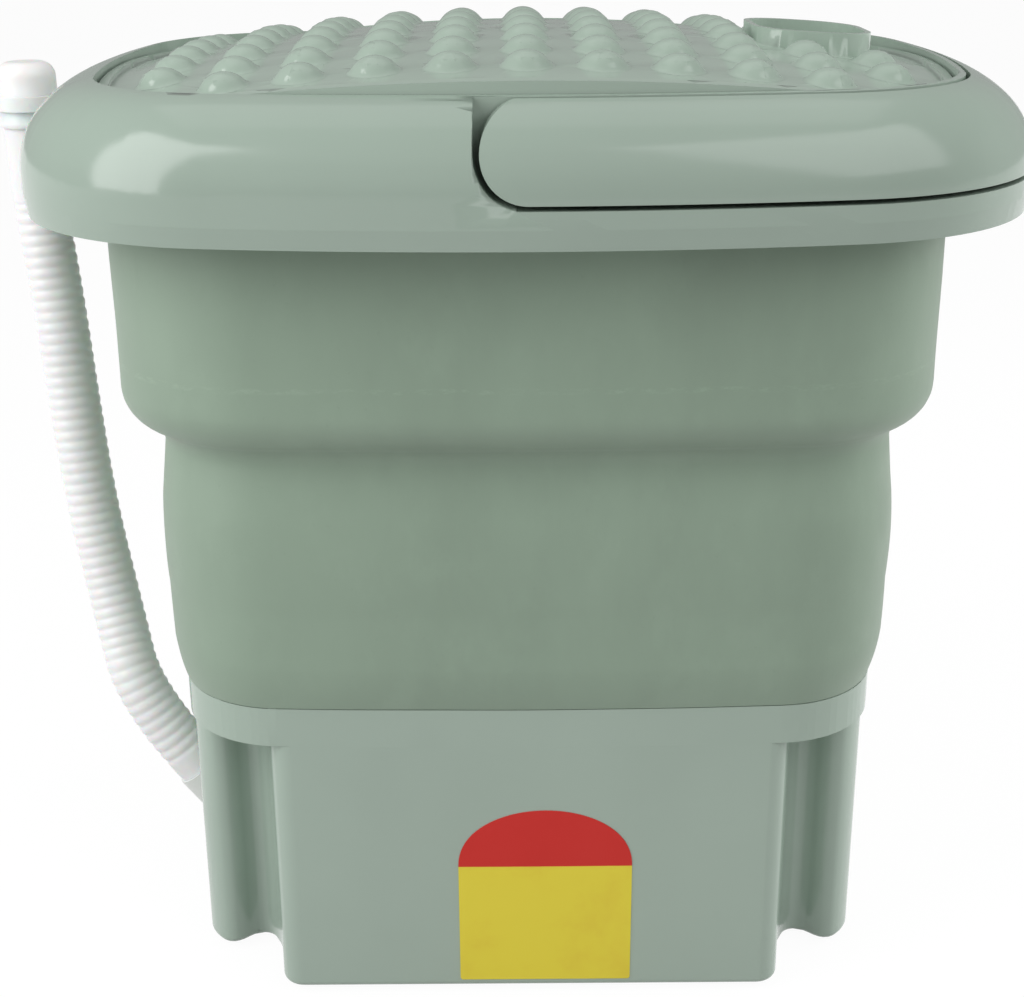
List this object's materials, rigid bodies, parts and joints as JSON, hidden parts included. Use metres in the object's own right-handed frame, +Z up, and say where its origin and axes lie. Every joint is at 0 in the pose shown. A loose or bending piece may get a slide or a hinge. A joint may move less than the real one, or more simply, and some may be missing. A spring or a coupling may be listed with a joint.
{
  "type": "foldable washing machine",
  "caption": "Small tub washer with a soft collapsible two-tier wall, round-edged rim with a swinging carry handle, bumped lid, pulsator drive base and ribbed drain hose",
  "frame": {"origin": "on the floor under the middle of the base, which is the centre of the object's footprint without the hose", "axes": "+Z up, +X along the long side towards the lid's finger grip, -Y towards the plain label side, +Y towards the control panel"},
  "size_m": [0.405, 0.3, 0.3769],
  "materials": {
    "shell_green": "satin sage green",
    "soft_green": "soft matte sage green",
    "pulsator_green": "smooth pale green",
    "black_rubber": "matte",
    "steel": "brushed",
    "bronze": "sintered",
    "dark_plastic": "moulded black",
    "panel_white": "satin white",
    "button_white": "gloss white",
    "lens": "clear green",
    "board": "circuit board",
    "hose_white": "milky translucent"
  },
  "bodies": {
    "base": {"base_housing": "shell_green", "rubber_feet": "black_rubber", "base_screws": "steel", "tub_floor": "shell_green", "drain_strainer": "shell_green", "shaft_bushes": "bronze", "shaft_seal": "black_rubber", "motor_can": "steel", "motor_bracket": "steel", "motor_screws": "steel", "drive_belt": "black_rubber", "control_panel": "panel_white", "indicator_lens": "lens", "control_board": "board", "power_inlet": "dark_plastic", "drain_elbow": "panel_white", "foot_fold": "soft_green", "drain_hose": "hose_white"},
    "lower_tier": {"lower_wall": "soft_green", "step_fold": "soft_green"},
    "rim": {"upper_wall": "soft_green", "wall_clamp_ring": "shell_green", "rim_screws": "steel", "rim_shell": "shell_green", "hose_clip": "hose_white"},
    "handle_bail": {"handle": "shell_green", "handle_pins": "steel"},
    "lid_cover": {"lid": "shell_green"},
    "wash_pulsator": {"pulsator": "pulsator_green", "pulsator_cap": "pulsator_green", "pulsator_shaft": "steel", "driven_pulley": "dark_plastic"},
    "motor_rotor": {"motor_shaft": "steel", "motor_pulley": "dark_plastic"},
    "power_key": {"power_button": "button_white"},
    "mode_key": {"mode_button": "button_white"},
    "hose_plug": {"hose_cap": "hose_white"}
  },
  "joints": [
    {"name": "tier_slide", "type": "slide", "parent": "base", "child": "lower_tier", "axis": [0, 0, -1], "range_m": [0, 0.08], "deforming": ["foot_fold"]},
    {"name": "rim_slide", "type": "slide", "parent": "lower_tier", "child": "rim", "axis": [0, 0, -1], "range_m": [0, 0.084], "deforming": ["step_fold", "drain_hose"]},
    {"name": "handle_hinge", "type": "hinge", "parent": "rim", "child": "handle_bail", "pos_m": [0, 0, 0.34535], "axis": [0, -1, 0], "range_deg": [0, 90]},
    {"name": "lid_lift", "type": "slide", "parent": "rim", "child": "lid_cover", "axis": [0, 0, 1], "range_m": [0, 0.05]},
    {"name": "pulsator_spin", "type": "hinge", "parent": "base", "child": "wash_pulsator", "pos_m": [0, 0, 0.09], "axis": [0, 0, 1], "continuous": true},
    {"name": "motor_spin", "type": "hinge", "parent": "base", "child": "motor_rotor", "pos_m": [0.072, 0, 0.06], "axis": [0, 0, 1], "continuous": true},
    {"name": "power_press", "type": "slide", "parent": "base", "child": "power_key", "axis": [0, -1, 0], "range_m": [0, 0.0016], "stiffness_N_per_m": 400, "springref_m": -0.001},
    {"name": "mode_press", "type": "slide", "parent": "base", "child": "mode_key", "axis": [0, -1, 0], "range_m": [0, 0.0016], "stiffness_N_per_m": 400, "springref_m": -0.001},
    {"name": "hose_cap_pull", "type": "slide", "parent": "rim", "child": "hose_plug", "axis": [0, 0, 1], "range_m": [0, 0.03]}
  ],
  "couplings": [
    {"joint": "tier_slide", "follows": "rim_slide", "ratio": 0.95238},
    {"joint": "motor_spin", "follows": "pulsator_spin", "ratio": 3.6829}
  ]
}
